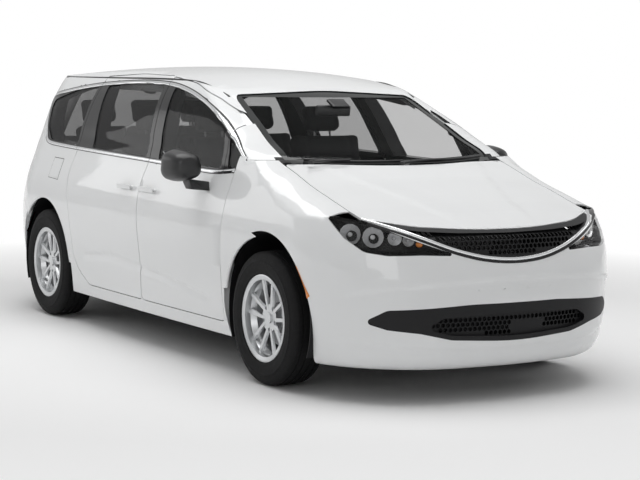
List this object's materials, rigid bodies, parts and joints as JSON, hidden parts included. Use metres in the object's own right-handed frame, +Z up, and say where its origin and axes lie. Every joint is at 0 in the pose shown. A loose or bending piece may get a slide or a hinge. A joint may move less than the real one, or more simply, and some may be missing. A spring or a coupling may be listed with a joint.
{
  "type": "minivan",
  "caption": "Full-size seven-seat minivan with opening bonnet, front doors and tailgate, steered front wheels, sliding side doors and a cabin with three rows of seats.",
  "frame": {"origin": "on the ground, midway along the length and the width", "axes": "+X forward, +Y to the vehicle's left, +Z up"},
  "size_m": [5.1796, 2.3796, 1.727],
  "materials": {
    "body_paint": "gloss",
    "glass": "clear",
    "tinted_glass": "dark tint",
    "windscreen_glass": "clear",
    "dark_plastic": "satin",
    "steel": "machined",
    "lamp_lens": "clear lens",
    "red_lens": "gloss lens",
    "underbody": "matte",
    "chassis_black": "satin",
    "cast_metal": "cast",
    "tyre": "matte",
    "alloy": "painted silver",
    "interior": "grained",
    "seat_cover": "woven"
  },
  "bodies": {
    "body": {"sliding_door_glass": "tinted_glass", "quarter_glass": "tinted_glass", "front_quarter_glass": "glass", "windscreen": "windscreen_glass", "sliding_doors": "body_paint", "sliding_door_rollers": "steel", "side_frames": "body_paint", "roof_panel": "body_paint", "front_fenders": "body_paint", "cowl": "dark_plastic", "front_bumper": "body_paint", "headlamps": "lamp_lens", "grille": "dark_plastic", "lower_grille": "dark_plastic", "rear_bumper": "body_paint", "tail_lamps": "red_lens", "floor_pan": "underbody", "front_structure": "underbody", "wheel_liners": "dark_plastic", "rear_axle": "chassis_black", "front_subframe": "chassis_black", "engine_block": "cast_metal", "fuel_tank": "dark_plastic", "exhaust": "steel", "dashboard": "interior", "steering_wheel": "interior", "front_seats": "seat_cover", "middle_seats": "seat_cover", "rear_bench": "seat_cover"},
    "bonnet": {"bonnet": "body_paint"},
    "tailgate": {"tailgate": "body_paint", "tailgate_glass": "tinted_glass"},
    "front_door_right": {"front_door_right": "body_paint", "front_door_glass_right": "glass", "mirror_right": "dark_plastic"},
    "front_door_left": {"front_door_left": "body_paint", "front_door_glass_left": "glass", "mirror_left": "dark_plastic"},
    "knuckle_right": {"knuckle_right": "steel"},
    "knuckle_left": {"knuckle_left": "steel"},
    "wheel_front_right": {"tyre_front_right": "tyre", "rim_front_right": "alloy", "brake_disc_front_right": "steel"},
    "wheel_front_left": {"tyre_front_left": "tyre", "rim_front_left": "alloy", "brake_disc_front_left": "steel"},
    "wheel_rear_right": {"tyre_rear_right": "tyre", "rim_rear_right": "alloy", "brake_disc_rear_right": "steel"},
    "wheel_rear_left": {"tyre_rear_left": "tyre", "rim_rear_left": "alloy", "brake_disc_rear_left": "steel"}
  },
  "joints": [
    {"name": "bonnet_hinge", "type": "hinge", "parent": "body", "child": "bonnet", "pos_m": [1.412, 0, 1.168], "axis": [0, -1, 0], "range_deg": [0, 50]},
    {"name": "tailgate_hinge", "type": "hinge", "parent": "body", "child": "tailgate", "pos_m": [-2.201, 0, 1.655], "axis": [0, 1, 0], "range_deg": [0, 80]},
    {"name": "front_door_right_hinge", "type": "hinge", "parent": "body", "child": "front_door_right", "pos_m": [1.075, -0.965, 0.68], "axis": [0, 0, 1], "range_deg": [0, 65]},
    {"name": "front_door_left_hinge", "type": "hinge", "parent": "body", "child": "front_door_left", "pos_m": [1.075, 0.965, 0.68], "axis": [0, 0, -1], "range_deg": [0, 65]},
    {"name": "steer_right", "type": "hinge", "parent": "body", "child": "knuckle_right", "pos_m": [1.592, -0.795, 0.225], "axis": [0, 0.2648, 0.9643], "range_deg": [-32, 32]},
    {"name": "steer_left", "type": "hinge", "parent": "body", "child": "knuckle_left", "pos_m": [1.592, 0.795, 0.225], "axis": [0, -0.2648, 0.9643], "range_deg": [-32, 32]},
    {"name": "spin_front_right", "type": "hinge", "parent": "knuckle_right", "child": "wheel_front_right", "pos_m": [1.592, -0.862, 0.368], "axis": [0, 1, 0], "continuous": true},
    {"name": "spin_rear_right", "type": "hinge", "parent": "body", "child": "wheel_rear_right", "pos_m": [-1.497, -0.862, 0.368], "axis": [0, 1, 0], "continuous": true},
    {"name": "spin_front_left", "type": "hinge", "parent": "knuckle_left", "child": "wheel_front_left", "pos_m": [1.592, 0.862, 0.368], "axis": [0, 1, 0], "continuous": true},
    {"name": "spin_rear_left", "type": "hinge", "parent": "body", "child": "wheel_rear_left", "pos_m": [-1.497, 0.862, 0.368], "axis": [0, 1, 0], "continuous": true}
  ],
  "couplings": [
    {"joint": "steer_left", "follows": "steer_right", "ratio": 1}
  ]
}
